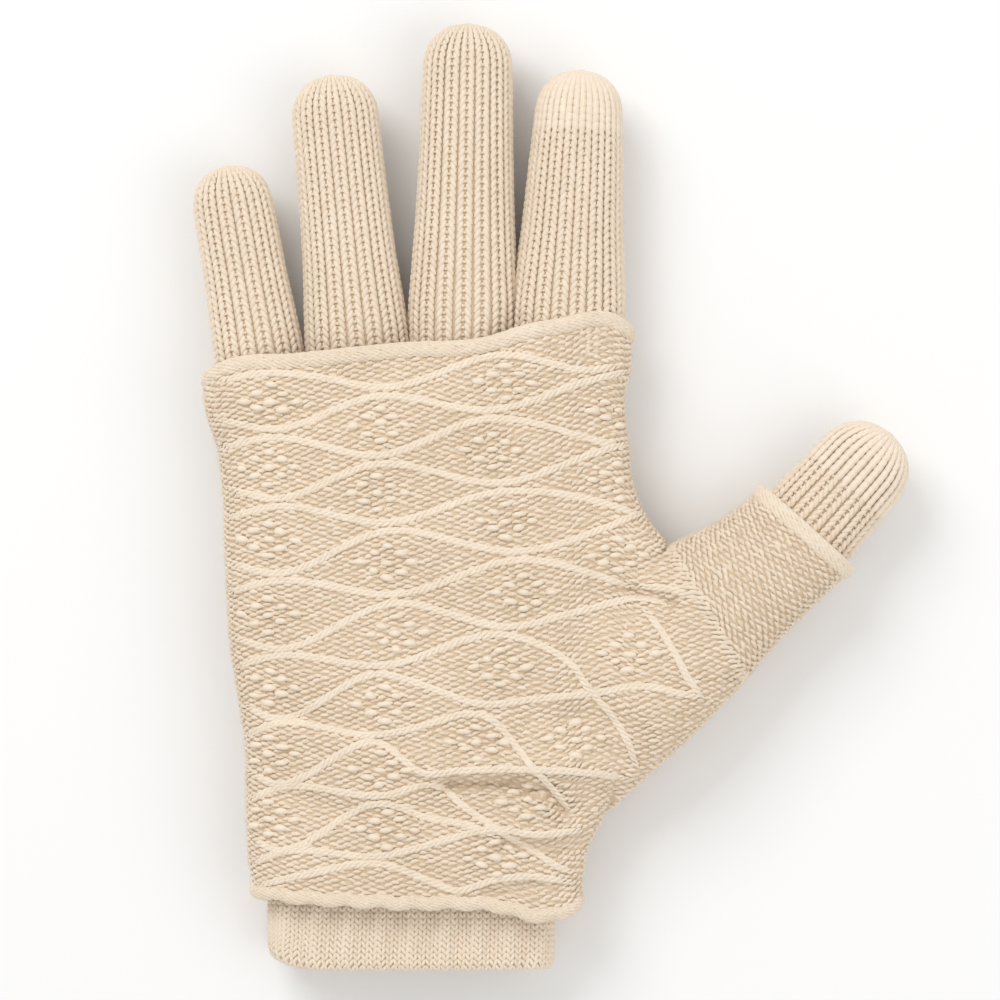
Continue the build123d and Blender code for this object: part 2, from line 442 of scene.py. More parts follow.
def yarn_colour_group():
    """Colour and fine height of soft spun yarn: heather flecks, slow tone drift and each loop's shade, which
    is its own tone and, on the sunk bars, painted shade.
    """
    group = bpy.data.node_groups.new("spun_yarn", "ShaderNodeTree")
    for name, kind, default in (
        ("Light", "Color", (1, 1, 1, 1)),
        ("Dark", "Color", (0.5, 0.5, 0.5, 1)),
        ("Fleck Scale", "Float", 900.0),
        ("Drift Scale", "Float", 45.0),
        ("Fibre Scale", "Float", 3200.0),
    ):
        socket(group, name, f"NodeSocket{kind}", default)
    socket(group, "Colour", "NodeSocketColor", output=True)
    socket(group, "Fibre", "NodeSocketFloat", output=True)
    nodes, link, maths = group.nodes, group.links.new, maths_in(group)
    given, result = nodes.new("NodeGroupInput").outputs, nodes.new("NodeGroupOutput").inputs
    place = nodes.new("ShaderNodeTexCoord")

    def noise(scale, detail):
        node = nodes.new("ShaderNodeTexNoise")
        link(place.outputs["Object"], node.inputs["Vector"])
        link(given[scale], node.inputs["Scale"])
        node.inputs["Detail"].default_value = detail
        return node.outputs["Fac"]

    fleck, drift, fibre = noise("Fleck Scale", 3.0), noise("Drift Scale", 2.0), noise("Fibre Scale", 2.0)
    own = nodes.new("ShaderNodeAttribute")
    own.attribute_name = "shade"

    mixed = maths("ADD", maths("MULTIPLY", fleck, 0.75), maths("MULTIPLY", drift, 0.6))
    mixed = maths("ADD", mixed, maths("SUBTRACT", own.outputs["Fac"], 0.18))
    ramp = nodes.new("ShaderNodeMapRange")
    ramp.inputs["From Min"].default_value = 0.15
    ramp.inputs["From Max"].default_value = 0.85
    link(mixed, ramp.inputs["Value"])
    colour = nodes.new("ShaderNodeMix")
    colour.data_type = "RGBA"
    link(ramp.outputs["Result"], colour.inputs["Factor"])
    link(given["Dark"], colour.inputs[6])
    link(given["Light"], colour.inputs[7])
    link(colour.outputs[2], result["Colour"])
    link(fibre, result["Fibre"])
    return group


YARN_GROUP = yarn_colour_group()


def yarn_material(name, light, dark, sheen=0.25):
    material = bpy.data.materials.new(name)
    material.use_nodes = True
    nodes, link = material.node_tree.nodes, material.node_tree.links.new
    shader = nodes["Principled BSDF"]
    shader.inputs["Roughness"].default_value = 0.92
    shader.inputs["Specular IOR Level"].default_value = 0.18
    shader.inputs["Sheen Weight"].default_value = sheen
    shader.inputs["Sheen Roughness"].default_value = 0.45
    shader.inputs["Sheen Tint"].default_value = (1.0, 0.95, 0.86, 1)
    yarn = nodes.new("ShaderNodeGroup")
    yarn.node_tree = YARN_GROUP
    yarn.inputs["Light"].default_value = (*light, 1)
    yarn.inputs["Dark"].default_value = (*dark, 1)
    link(yarn.outputs["Colour"], shader.inputs["Base Color"])
    bump = nodes.new("ShaderNodeBump")
    bump.inputs["Strength"].default_value = 0.35
    bump.inputs["Distance"].default_value = 0.12 * MM
    link(yarn.outputs["Fibre"], bump.inputs["Height"])
    link(bump.outputs["Normal"], shader.inputs["Normal"])
    return material


def floor_material():
    material = bpy.data.materials.new("pale_floor")
    material.use_nodes = True
    shader = material.node_tree.nodes["Principled BSDF"]
    shader.inputs["Base Color"].default_value = (0.93, 0.93, 0.93, 1)
    shader.inputs["Roughness"].default_value = 0.8
    return material


LINER_YARN = yarn_material("liner_yarn", (0.90, 0.78, 0.64), (0.80, 0.67, 0.525))
# The ground materials are darker copies of their yarns, used on the walls under the stitches: painted shade
# in the gaps between the loops.
LINER_GROUND_SHADE = yarn_material("liner_ground_painted_shade", (0.84, 0.70, 0.535), (0.72, 0.58, 0.425), sheen=0.0)
MITT_YARN = yarn_material("mitt_yarn", (0.90, 0.78, 0.64), (0.78, 0.65, 0.50))
# The lattice yarn is a lighter copy of the mitt yarn: painted highlight on the raised cords and bobbles, the
# thumb's roll and the stray fibres.
PAINTED_HIGHLIGHT_YARN = yarn_material("painted_highlight_yarn", (0.92, 0.805, 0.665), (0.84, 0.71, 0.56))
MITT_GROUND_SHADE = yarn_material("mitt_ground_painted_shade", (0.80, 0.66, 0.495), (0.68, 0.545, 0.385), sheen=0.0)
TOUCH_YARN = yarn_material("touch_yarn", (0.92, 0.80, 0.665), (0.85, 0.72, 0.58), sheen=0.35)
TOUCH_GROUND_SHADE = yarn_material("touch_ground_painted_shade", (0.84, 0.72, 0.57), (0.76, 0.63, 0.48), sheen=0.0)


# ---------------------------------------------------------------- fingers

LEG = loops(length=2.55, radius=0.60, bow=0.16, tip=0.42, spread=0.05, segments=4, sides=6)
LEG_LEAN = math.radians(65)          # a stitch's leg against the row it stands on
SMOOTH_LEAN = math.radians(84)       # the same in touch-screen yarn
COURSE = 1.57                        # height of a liner stitch

# Half widths along each finger as (distance past its knuckle, half width), and its count of wales
FINGERS = {
    "little": ([(-16, 8.6), (-6, 9.3), (2, 9.0), (12, 8.5), (24, 8.3), (30, 8.0)], 14),
    "ring": ([(-16, 10.4), (-6, 11.0), (0, 10.6), (12, 9.7), (26, 9.2), (44, 8.9)], 16),
    "middle": ([(-16, 11.2), (-4, 11.5), (4, 11.0), (16, 10.3), (34, 9.6), (50, 9.2)], 16),
    "index": ([(-16, 11.6), (-8, 12.0), (0, 11.5), (10, 10.6), (24, 9.8), (38, 8.9)], 18),
}
FINGER_DEPTH, THUMB_DEPTH = 0.78, 0.76   # height of a section as a share of its width
SECTION_POWER, END_POWER = 2.2, 2.15     # how square a section and a round end are
TUCK = 16.0                          # length of a finger below its knuckle, inside the mitt
TOUCH_LENGTH = 13.5                  # length of the touch-screen yarn on the index finger
PAST_END = 9                         # added to a tip's length, so that its last rows are all taken in
ROW_STEP = 0.8                       # surface length from one row of a tube to the next
TUBE_SAMPLES = 97
UP = np.array([0, 0, 1.0])


def finger_axes(joint):
    """Origin, across and ahead of a finger whose first joint is `joint`."""
    across = np.array(joint["axis"], float)
    return np.array(joint["pos_m"], float) / MM, across, np.cross(UP, across)


def hinge_distance(joint, origin):
    """How far a joint lies along a finger that starts at `origin`."""
    return float(np.linalg.norm(np.array(JOINTS[joint]["pos_m"]) / MM - origin))


def tube_rows(origin, across, ahead, widths, start, end, depth):
    """Closed rows round a finger with a round end, ROW_STEP apart, and the distance along it of each."""
    half_width = through(widths)
    dome = half_width(end)
    straight = np.arange(start, end - dome, 0.5)
    turn = np.linspace(0, math.pi / 2, 40)
    stations = np.concatenate([straight, end - dome + dome * np.sin(turn)])
    rounds = np.concatenate([np.ones(len(straight)), arch(np.sin(turn), END_POWER)])
    rounds[-1] = 0.02
    reach = half_width(np.minimum(stations, end)) * rounds
    run = run_along(np.stack([stations, reach], axis=1))
    at = np.arange(0, run[-1], ROW_STEP)
    stations, reach = np.interp(at, run, stations), np.interp(at, run, reach)
    ca, sa = superellipse(np.linspace(math.pi, -math.pi, TUBE_SAMPLES), SECTION_POWER)
    rows = [origin + ahead * station + np.outer(ca * r, across) + np.outer(sa * r * depth, UP)
            for station, r in zip(stations, reach)]
    return rows, stations


def finger_tube(knuckle, widths, wales, start, end, depth, measured_row):
    """A finger's skin and what its pieces need to know. Its wale is as wide as on `measured_row`."""
    origin, across, ahead = finger_axes(JOINTS[knuckle])
    rows, stations = tube_rows(origin, across, ahead, widths, start, end, depth)
    skin = Skin(rows, TUBE_SAMPLES, closed=True)
    return {"origin": origin, "ahead": ahead, "skin": skin, "stations": stations,
            "wales": wales, "wale": skin.span(measured_row) / wales, "smooth_from": None}


def leg_stitches(skin, stations, wales, course, low, high, wale, smooth_from=None, bars=True):
    """V stitches on a closed tube between two distances along it, with bars of yarn between the wales.
    Past `smooth_from` the legs stand nearly upright and are wide enough to close the fabric."""
    out = Stitches()
    for j in np.arange(0, (skin.rows - 1) * ROW_STEP / course):
        row = np.full(wales, j * course / ROW_STEP)
        station = np.interp(row[0], np.arange(len(stations)), stations)
        squeeze = min(1.15, skin.span(row[0]) / wales / wale)
        if not low <= station < high or squeeze < 0.1:
            continue
        upright = smooth_from is not None and station > smooth_from
        if bars and not upright:
            places, across, along, outward = skin.at(row + 0.3, np.arange(wales) / wales)
            # The bars' shade of -0.1 darkens them: painted shade where they sink between the wales.
            out.add(places - outward * 0.22, across, along, outward, rng.normal(0, 0.12, wales),
                    (0.62 * squeeze, 0.62, 0.55), rng.normal(-0.1, 0.07, wales))
        thick = 0.42 + 0.62 * min(1.0, squeeze)
        if upright:
            lean, size = SMOOTH_LEAN, (1.12, 1.42 * thick, thick)
        else:
            lean, size = math.pi / 2 - (math.pi / 2 - LEG_LEAN) * squeeze, (1.0, thick, thick)
        for side in (-1, 1):
            share = (np.arange(wales) + 0.5 + side * 0.245) / wales
            places, across, along, outward = skin.at(row + rng.normal(0, 0.03, wales), share)
            out.add(places, across, along, outward, side * lean, size, rng.normal(0, 0.07, wales))
    return out


def close_tip(stitches, skin, ahead):
    """Legs crossed over the last small hole of a round end."""
    apex = skin.grid[-1].mean(axis=0) + ahead * 0.05
    side = unit(np.cross(ahead, UP))
    up = np.cross(ahead, side)
    turns = np.arange(4) * math.pi / 4
    across = np.outer(np.cos(turns), side) + np.outer(np.sin(turns), up)
    outward = np.tile(ahead, (4, 1))
    stitches.add(np.tile(apex, (4, 1)), across, np.cross(outward, across), outward, 0.0, (0.9, 0.8, 0.8), 0.0)


def finger_piece(name, finger, low, high, material, bodies, hinge, reach, *nodes):
    """Knitting and ground of one stretch of a finger. The hinge it is given is not used."""
    skin, stations, ahead = finger["skin"], finger["stations"], finger["ahead"]
    touch, at_end = material is TOUCH_YARN, high > stations[-1]
    stitches = leg_stitches(skin, stations, finger["wales"], COURSE, low, high, finger["wale"],
                            finger["smooth_from"])
    first, last = int(np.searchsorted(stations, low)), int(np.searchsorted(stations, high)) + 1
    grid = skin.shifted(-0.42)[first:last]
    if at_end:
        close_tip(stitches, skin, ahead)
        tip = np.repeat(grid[-1:].mean(axis=1, keepdims=True), grid.shape[1], axis=1)
        grid = np.concatenate([grid, tip])
    knitting = knit(f"{name}_knit", stitches, LEG, material, seed=len(name))
    ground = wall_piece(f"{name}_ground", [grid], TOUCH_GROUND_SHADE if touch else LINER_GROUND_SHADE)
    for piece in (knitting, ground):
        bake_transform(piece)
        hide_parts(*nodes)


def make_finger(name):
    origin, _, ahead = finger_axes(JOINTS[f"{name}_knuckle"])
    middle_bend, tip_bend = (hinge_distance(f"{name}_{bend}", origin) for bend in ("middle_bend", "tip_bend"))
    base, middle, tip = (f"{name}_{body}" for body in ("base", "middle", "tip"))
    tip_node = "liner_index_touch_tip" if name == "index" else f"liner_{name}_finger_tip"
    end = (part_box(tip_node)[1].y / MM - origin[1]) / ahead[1] + 0.1
    finger = finger_tube(f"{name}_knuckle", *FINGERS[name], -TUCK, end, FINGER_DEPTH, 30.0)
    first_split, second_split = middle_bend / 2, (middle_bend + tip_bend) / 2
    finger_piece(f"{name}_finger_base", finger, -TUCK, first_split, LINER_YARN, ("palm", base), 0.0,
                 min(9.0, first_split), f"liner_{name}_finger_base")
    finger_piece(f"{name}_finger_middle", finger, first_split, second_split, LINER_YARN, (base, middle),
                 middle_bend, min(8.5, middle_bend - first_split), f"liner_{name}_finger_middle")
    last_bend = ((middle, tip), tip_bend, min(7.0, tip_bend - second_split))
    if name == "index":
        touch_from = end - TOUCH_LENGTH
        finger["smooth_from"] = touch_from
        finger_piece("index_finger_end", finger, second_split, touch_from, LINER_YARN, *last_bend)
        finger_piece("index_touch_tip", finger, touch_from, end + PAST_END, TOUCH_YARN, *last_bend, tip_node)
    else:
        finger_piece(f"{name}_finger_tip", finger, second_split, end + PAST_END, LINER_YARN, *last_bend,
                     tip_node)


for finger_name in FINGERS:
    make_finger(finger_name)

# ---------------------------------------------------------------- the mitt's surface

# Outline in plan: the left edge, the right edge without the thumb, the top edge and the hem
left_edge = through([(-91, -60), (-85.7, -63.3), (-80, -64.4), (-64, -65.3), (-53, -65.5), (-43, -67),
                     (-32, -68.7), (-21, -69.4), (-10, -70), (0, -70.2), (5.7, -70.8), (11, -71.6),
                     (16.4, -73.4), (21.8, -74.4), (27, -73.9), (32.6, -72.8)])
body_right = through([(-91, 5.8), (-85.7, 6.6), (-80, 7), (-75, 8.1), (-69.6, 10.9), (-64, 13), (-55, 17),
                      (-42, 24), (-30, 26), (-20, 26.5), (-11.1, 25.3), (-5, 20.7), (0.3, 18.2), (5.7, 17.1),
                      (11, 16.7), (17, 15.9), (22, 15.8), (27, 16.9), (32.6, 17.3), (38, 17)])
top_edge = through([(-75, 24.6), (-70.6, 27.0), (-53.9, 28.9), (-32.4, 31.1), (-12.5, 32.7), (-6.0, 34.8),
                    (2, 36.4), (13.9, 37.2), (18, 34.2)])
hem_edge = through([(-64, -84.4), (-56, -85.3), (-32.4, -86.6), (-10.9, -87.4), (-2.3, -89.6), (3.5, -88.6),
                    (7, -86.6)])
HEM_Y, TOP_Y = -86.0, 32.0           # about where the hem and the knuckle edge lie

# Half the body's thickness along it, the height of its middle, and how square its sections are
body_half = through([(-92, 10.0), (-75, 10.9), (-50, 11.9), (-20, 12.2), (8, 11.7), (30, 10.9), (40, 10.6)])
MID_Z = 12.9
LOWEST_Z = 1.3                       # the back's cords stand out from here and stay above the floor
POWER = 2.7

# The thumb in its own plan: u along it from its hinge, v across it away from the fingers
THUMB_ORIGIN, THUMB_ACROSS, THUMB_AHEAD = finger_axes(JOINTS["thumb_knuckle"])
thumb_centre = through([(-60, -0.5), (-50, -2.2), (-35, -4.0), (-20, -4.6), (-7.6, -4.0), (5, -1.3),
                        (15, 0.0)])
thumb_width = through([(-60, 9.5), (-50, 11.9), (-35, 15.1), (-20, 16.4), (-7.6, 15.4), (5, 13.3),
                       (15, 12.75)])
thumb_half = through([(-60, 10.5), (-40, 11.2), (-25, 11.4), (-7, 10.9), (15, 10.2)])
SLEEVE_TOP = 14.2
SLEEVE_START = (-7.6, -17.7)         # u of the sleeve's seam at the crotch and at the outer edge


def to_thumb(x, y):
    dx, dy = x - THUMB_ORIGIN[0], y - THUMB_ORIGIN[1]
    return (dx * THUMB_AHEAD[0] + dy * THUMB_AHEAD[1], dx * THUMB_ACROSS[0] + dy * THUMB_ACROSS[1])


def from_thumb(u, v):
    return (THUMB_ORIGIN[0] + u * THUMB_AHEAD[0] + v * THUMB_ACROSS[0],
            THUMB_ORIGIN[1] + u * THUMB_AHEAD[1] + v * THUMB_ACROSS[1])


def seam_along(s):
    """u of the sleeve's seam where s runs from -1 at the crotch to 1 at the outer edge."""
    return SLEEVE_START[0] + (SLEEVE_START[1] - SLEEVE_START[0]) * (s + 1) / 2


def region_right_table():
    """The body's right side: its own edge, then the sleeve's seam, then the thumb's outer edge.
    Gives heights y, the x at each, and the lowest and highest y of the seam."""
    high = [(y, float(body_right(y))) for y in np.linspace(38, -10.8, 60)]
    s = np.linspace(-1, 1, 40)
    u = seam_along(s)
    x, y = from_thumb(u, thumb_centre(u) + thumb_width(u) * s)
    seam = list(zip(y, x))
    u = np.linspace(-17.8, -57, 60)
    x, y = from_thumb(u, thumb_centre(u) + thumb_width(u))
    outer = [(b, max(a, float(body_right(b)))) for a, b in zip(x, y)]
    low = [(b, float(body_right(b))) for b in np.linspace(outer[-1][0] - 0.5, -95, 60)]
    table = np.array(sorted(high + seam + outer + low))
    return table[:, 0], table[:, 1], min(y for y, _ in seam), max(y for y, _ in seam)


RIGHT_Y, RIGHT_X, SEAM_LOW, SEAM_HIGH = region_right_table()


def region_right(y):
    return np.interp(y, RIGHT_Y, RIGHT_X)


# Ridges (positive) and creases (negative) of the worn fabric: height, half width, plan points
FOLDS = (
    (-3.0, 1.5, ((-22, -61.6), (-8, -61.4), (-1, -63.6), (3, -67.5))),
    (1.5, 2.4, ((-26, -59.0), (-6, -57.8), (8, -58.6), (17, -60.2))),
    (-1.5, 1.5, ((-10, -74.0), (0, -75.4), (9, -74.4))),
    (0.7, 1.8, ((-16, -71), (0, -72), (10, -71))),
    (-1.1, 1.6, ((-14, -84.8), (-4, -83.2), (6, -84.4))),
    (-1.5, 1.3, ((14.5, -19.8), (21, -21.2), (26, -23.2))),
    (1.0, 2.0, ((18, -17.6), (26, -18.9), (33, -22.2), (39, -27))),
    (-0.9, 2.4, ((-58, -46), (-44, -49.5), (-32, -53.5))),
    (0.8, 2.6, ((-56, -50.5), (-40, -51.5), (-26, -58.5))),
    (-0.8, 2.6, ((-60, -63), (-42, -68), (-24, -67))),
    (-0.8, 2.2, ((-4, -48), (8, -47), (18, -49))),
    (0.8, 3.0, ((6, -36), (16, -44), (22, -54))),
    (-0.6, 3.0, ((-66, 14), (-52, 18), (-36, 17))),
    (-0.7, 2.2, ((8, 29), (14, 22), (16, 14))),
)
WAVES = [(rng.uniform(0.12, 0.408), rng.uniform(0, 2 * math.pi), rng.uniform(0, 2 * math.pi))
         for _ in range(14)]
WAVE_HEIGHT = 0.09


def distance_to_path(x, y, path):
    best = np.full(np.shape(x), 1e9)
    for (x0, y0), (x1, y1) in zip(path, path[1:]):
        dx, dy = x1 - x0, y1 - y0
        t = np.clip(((x - x0) * dx + (y - y0) * dy) / (dx * dx + dy * dy), 0, 1)
        best = np.minimum(best, np.hypot(x - x0 - t * dx, y - y0 - t * dy))
    return best


def relief(x, y):
    """How far the worn fabric stands out over a plan point, from its waves, ridges and creases."""
    rise = np.zeros(np.shape(x))
    for pitch, heading, phase in WAVES:
        wave = np.sin((x * math.cos(heading) + y * math.sin(heading)) * pitch + phase)
        rise = rise + WAVE_HEIGHT * wave
    for height, width, path in FOLDS:
        rise = rise + height * np.exp(-(distance_to_path(x, y, path) / width) ** 2)
    return rise


def half_thickness(x, y):
    """The body and the ball of the thumb, run into one another."""
    left, right = left_edge(y), body_right(y)
    body = body_half(y) * arch((x - (left + right) / 2) / ((right - left) / 2), POWER)
    u, v = to_thumb(x, y)
    thumb = thumb_half(u) * arch((v - thumb_centre(u)) / thumb_width(u), POWER) * smooth(u, -64, -38)
    return (body**6 + thumb**6) ** (1 / 6)


def middle_z(x, y):
    return MID_Z + (THUMB_ORIGIN[2] - MID_Z) * smooth(to_thumb(x, y)[0], -40, -5)


def surface_z(x, y, front):
    half, middle = half_thickness(x, y), middle_z(x, y)
    puff = relief(x, y) * np.clip(half / 9, 0, 1)
    return middle + half + puff if front else np.maximum(middle - half - 0.35 * puff, LOWEST_Z)


def mitt_rows(front, count=151):
    """Rows of the mitt's palm side or its back, from the hem to the knuckles."""
    rows = []
    for t in np.linspace(0, 1, count):
        y_left = y_right = (1 - t) * HEM_Y + t * TOP_Y
        for _ in range(6):
            left, right = float(left_edge(y_left)), float(region_right(y_right))
            y_left = float((1 - t) * hem_edge(left) + t * top_edge(left))
            y_right = float((1 - t) * hem_edge(right) + t * top_edge(right))
        x = left + (right - left) * (1 - np.cos(np.linspace(0, math.pi, 260))) / 2
        y = (1 - t) * hem_edge(x) + t * top_edge(x)
        z = surface_z(x, y, front)
        z[0] = middle_z(x[0], y[0])
        if not SEAM_LOW < y_right < SEAM_HIGH:
            z[-1] = middle_z(x[-1], y[-1])
        row = np.stack([x, y, z], axis=1)
        rows.append(row if front else row[::-1])
    return rows


def sleeve_rows(front, start=0.0, count=60):
    """Rows of the thumb sleeve from its seam, or from a share `start` of its length, to its edge."""
    rows = []
    for k in np.linspace(start, 1, count):
        s = -np.cos(np.linspace(0, math.pi, 160))
        u = seam_along(s) + (SLEEVE_TOP - seam_along(s)) * k
        x, y = from_thumb(u, thumb_centre(u) + thumb_width(u) * s)
        z = surface_z(x, y, front)
        z[0], z[-1] = middle_z(x[0], y[0]), middle_z(x[-1], y[-1])
        row = np.stack([x, y, z], axis=1)
        rows.append(row if front else row[::-1])
    return rows


# ---------------------------------------------------------------- the mitt's fabric

PURL = loops(length=2.05, radius=0.50, bow=0.22, sideways=0.5, tip=0.4, spread=0.1, segments=3, sides=5)
ROPE = loops(length=2.6, radius=0.5, bow=0.16, tip=0.45, spread=0.08, segments=3, sides=6)
BOBBLE = loops(length=3.0, radius=0.78, bow=0.5, sideways=0.35, tip=0.3, spread=0.1, segments=5, sides=7)
PURL_PITCH, PURL_ROW = 3.2, 0.64     # spacing of the bumps along a row, and of the rows


def purl_stitches(skin, height, low, high):
    """Staggered bumps of reverse stockinette between two shares of the skin's height."""
    out = Stitches()
    rows = int(height / PURL_ROW)
    for j in range(int(low * rows), int(high * rows)):
        row = (j + 0.5) / rows * (skin.rows - 1)
        span = float(skin.span(row))
        count = int(span / PURL_PITCH + 0.5)
        share = (np.arange(count) + 0.25 + 0.5 * (j % 2)) * PURL_PITCH / span
        share = share[share < 0.995]
        share = share + rng.normal(0, 0.17, len(share)) / span
        places, across, along, outward = skin.at(row + rng.normal(0, 0.09, len(share)), share)
        out.add(places, across, along, outward, rng.normal(0, 0.15, len(share)),
                rng.normal(1, 0.08, (len(share), 3)), rng.normal(0, 0.12, len(share)))
    return out


def on_palm(piece, *nodes, slot="mitt_yarn"):
    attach(piece, "palm")
    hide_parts(*nodes)


def on_sleeve(piece):
    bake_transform(piece)
    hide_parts("mitt_thumb_sleeve")


MITT_LENGTH, SLEEVE_LENGTH = 119, 27
FRONT, BACK = Skin(mitt_rows(True), 201), Skin(mitt_rows(False), 201)
for side, skin in (("front", FRONT), ("back", BACK)):
    for part, low, high in (("lower", 0, 0.5), ("upper", 0.5, 1)):
        bumps = purl_stitches(skin, MITT_LENGTH, low, high)
        on_palm(knit(f"mitt_{side}_{part}_purl", bumps, PURL, MITT_YARN, seed=3), "mitt_shell")
mitt_grids = [skin.shifted(-0.2)[::2, ::2] for skin in (FRONT, BACK)]
on_palm(wall_piece("mitt_wall", mitt_grids, MITT_GROUND_SHADE, thickness=0.9), "mitt_shell")

SLEEVE_FRONT, SLEEVE_BACK = Skin(sleeve_rows(True), 120), Skin(sleeve_rows(False), 120)
sleeve_grids = [Skin(sleeve_rows(front, start=-0.06), 120).shifted(-0.25) for front in (True, False)]
for side, skin, seed in (("front", SLEEVE_FRONT, 4), ("back", SLEEVE_BACK, 5)):
    bumps = purl_stitches(skin, SLEEVE_LENGTH, 0, 1)
    on_sleeve(knit(f"mitt_sleeve_{side}_purl", bumps, PURL, MITT_YARN, seed=seed))
on_sleeve(wall_piece("mitt_sleeve_wall", sleeve_grids, MITT_GROUND_SHADE, thickness=0.9))

# ---------------------------------------------------------------- lattice and bobbles

# Crossings of the raised lattice, column by column from the outer edge, each from the knuckles down
OUTER = [(-60.3, y) for y in (13.4, -1.4, -17.3, -33.4, -48.1, -62.0, -76.0)]
SECOND = [(-36.5, 22.3), (-37.0, 7.8), (-35.0, -6.5), (-33.0, -21.8), (-35.6, -36.9), (-36.5, -51.7),
          (-35.0, -64.6), (-35.6, -77.5)]
THIRD = [(-9.8, 31.1), (-12.6, 17.5), (-9.8, 2.0), (-5.9, -12.6), (-8.7, -28.7)]
INNER = [(9.6, 26.1), (10.6, 10.6), (16.0, -4.0), (18.6, -20.5)]
KISS = 0.95                          # half the distance between two cords where they meet


def over(points):
    return [(x, y + KISS) for x, y in points]


def under(points):
    return [(x, y - KISS) for x, y in points]


def past_edge(crossing, rise):
    """One more point for a cord that runs from its last crossing over the mitt's right edge."""
    return [(float(body_right(crossing[1])) + 0.3, crossing[1] + rise)]


def lattice_cords():
    """Plan points of each cord. Neighbours meet at the crossings and part between them."""
    o, s, t, i = OUTER, SECOND, THIRD, INNER
    tails = {
        (3, 1): over(t[4:]) + [(7.9, -24.0), (18.6, -21.9), (27.0, -23.6)],
        (3, -1): under(t[4:]) + [(-0.8, -32.4), (4.2, -35.8), (8.5, -41.6), (12.8, -46.5), (16.4, -52.4),
                                 (18.4, -58.2)],
        (4, 1): [(-25, -41.0), (-15.2, -44.2), (-4.4, -43.3), (8.5, -42.0), (18.6, -40.5), (32.1, -43.1)],
        (4, -1): [(-25, -48.2), (-18.8, -46.4), (-14.5, -46.6), (-8.7, -51.7), (-4.4, -57.3), (0.5, -62.5),
                  (5.0, -68.4)],
        (5, 1): [(-26.6, -59.0), (-19.5, -58.4), (-4.4, -58.2), (6.3, -58.8), (17.0, -60.4)],
        (5, -1): [(-24.4, -61.6), (-18.8, -65.9), (-11.5, -71.0), (-4.4, -75.4), (2.0, -79.4), (5.6, -80.8)],
        (6, 1): [(-27.0, -68.4), (-18.0, -70.0), (-11.0, -72.6)],
        (6, -1): [(-21.6, -73.0), (-13.7, -70.9), (-2.9, -72.1), (7.0, -71.3)],
    }
    cords = [[(-71.5, 24.6), (-60.3, 26.3), (-51, 25.6)] + over(s[:1]) + under(t[:1]) + over(i[:1])
             + [(15.6, 28.2)]]
    for k, crossing in enumerate(o):
        edge_x = float(left_edge(crossing[1])) + 0.6
        for side in (1, -1):
            start = [(edge_x, crossing[1] + side * 3.4), (crossing[0], crossing[1] + side * KISS)]
            points = start + (under([s[k]]) if side > 0 else over([s[k + 1]]))
            if (k, side) in tails:
                points += tails[k, side]
            elif side > 0:
                points += over([t[k + 1]]) + under([i[k]]) + past_edge(i[k], 0.9)
            else:
                points += under([t[k + 1]]) + over([i[k + 1]])
                if k < 2:
                    points += past_edge(i[k + 1], -0.9)
            cords.append(points)
    cords.append([(-63.0, -83.4), (-52, -80.6)] + under(s[7:])
                 + [(-27.5, -81.4), (-20.0, -84.0), (-12.4, -81.8), (-4.4, -81.2), (5.0, -82.6)])
    cords.append([(18.0, -19.0), (25.7, -19.9), (32.8, -22.8), (38.4, -26.8), (41.6, -31.2)])
    cords.append([(19.2, -23.2), (23.5, -28.7), (27.2, -35.2), (30.0, -40.1), (32.6, -43.6)])
    return cords


def eased_path(points, step=0.4):
    """A smooth plan curve through points, rounded where it turns."""
    points = np.array(points, float)
    run = run_along(points)
    at = np.arange(0, run[-1], step)
    slopes = np.gradient(points, run, axis=0)
    i = np.clip(np.searchsorted(run, at, side="right") - 1, 0, len(run) - 2)
    width = (run[i + 1] - run[i])[:, None]
    t = (at - run[i])[:, None] / width
    return hermite(t, width, points[i], points[i + 1], slopes[i], slopes[i + 1])


def lift_path(plan, front, rise):
    """Places on the mitt above plan points, and the direction outwards at each."""
    x, y = plan[:, 0], plan[:, 1]
    reach, steepest = 0.35, 2.5
    slope_x = (surface_z(x + reach, y, front) - surface_z(x - reach, y, front)) / (2 * reach)
    slope_y = (surface_z(x, y + reach, front) - surface_z(x, y - reach, front)) / (2 * reach)
    slope_x, slope_y = (np.clip(slope, -steepest, steepest) for slope in (slope_x, slope_y))
    outward = unit(np.stack([-slope_x, -slope_y, np.ones(len(x))], axis=1)) * (1 if front else -1)
    return np.stack([x, y, surface_z(x, y, front)], axis=1) + outward * rise, outward


def every(places, step):
    """Fractional indices evenly spaced in length along a run of places."""
    run = run_along(places)
    return np.interp(np.arange(step / 2, run[-1], step), run, np.arange(len(run)))


def sample(values, index):
    """Values at fractional indices."""
    low = np.clip(index.astype(int), 0, len(values) - 2)
    share = (index - low)[:, None]
    return values[low] * (1 - share) + values[low + 1] * share


def inside(plan, margin=0.35):
    """Only the points that lie on the body of the mitt."""
    x, y = plan[:, 0], plan[:, 1]
    between = (x > left_edge(y) + margin) & (x < region_right(y) - margin)
    return plan[between & (y < top_edge(x)) & (y > hem_edge(x))]


def rope_stitches(out, places, outward, step=0.72, twist=0.3, reach=0.27):
    """A cord of short slanted loops that lie alternately on its two sides."""
    index = every(places, step)
    from_end = np.minimum(index - index[0], index[-1] - index)
    size = np.clip(0.45 + 0.06 * from_end, 0, 1)[:, None]
    centre, up = sample(places, index), unit(sample(outward, index))
    ahead = across_from(unit(sample(np.gradient(places, axis=0), index)), up)
    side = np.cross(up, ahead)
    count = len(index)
    strand = np.where(np.arange(count) % 2, 1.0, -1.0)[:, None]
    out.add(centre + side * strand * reach, ahead, side, up, twist + rng.normal(0, 0.08, count),
            size * rng.normal(1, 0.07, (count, 3)), rng.normal(0.0, 0.07, count))


